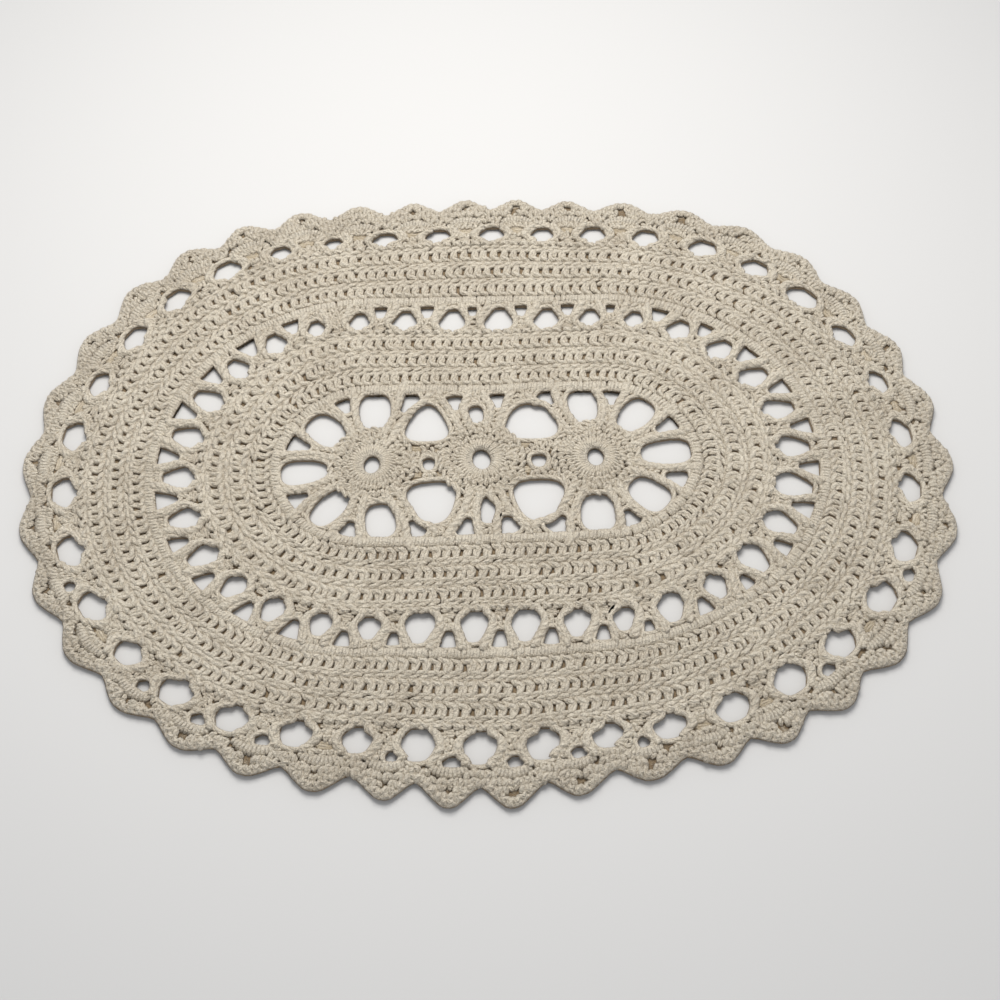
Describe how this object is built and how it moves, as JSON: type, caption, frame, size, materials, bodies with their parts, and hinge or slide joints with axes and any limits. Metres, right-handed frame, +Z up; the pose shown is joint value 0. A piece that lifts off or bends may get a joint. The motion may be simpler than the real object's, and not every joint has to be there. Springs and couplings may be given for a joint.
{
  "type": "crocheted oval doily",
  "caption": "Oval crocheted cotton doily lying flat, with a row of rosettes in an open middle, solid and lace rounds and a scalloped edge.",
  "frame": {"origin": "middle of the mat's outline on the table surface, at the flat underside", "axes": "+X along the mat's length, +Y across it away from the near side, +Z up out of the table"},
  "size_m": [0.45, 0.339, 0.0042],
  "materials": {
    "cotton": "matte"
  },
  "bodies": {
    "root": {"doily": "cotton"}
  },
  "joints": []
}
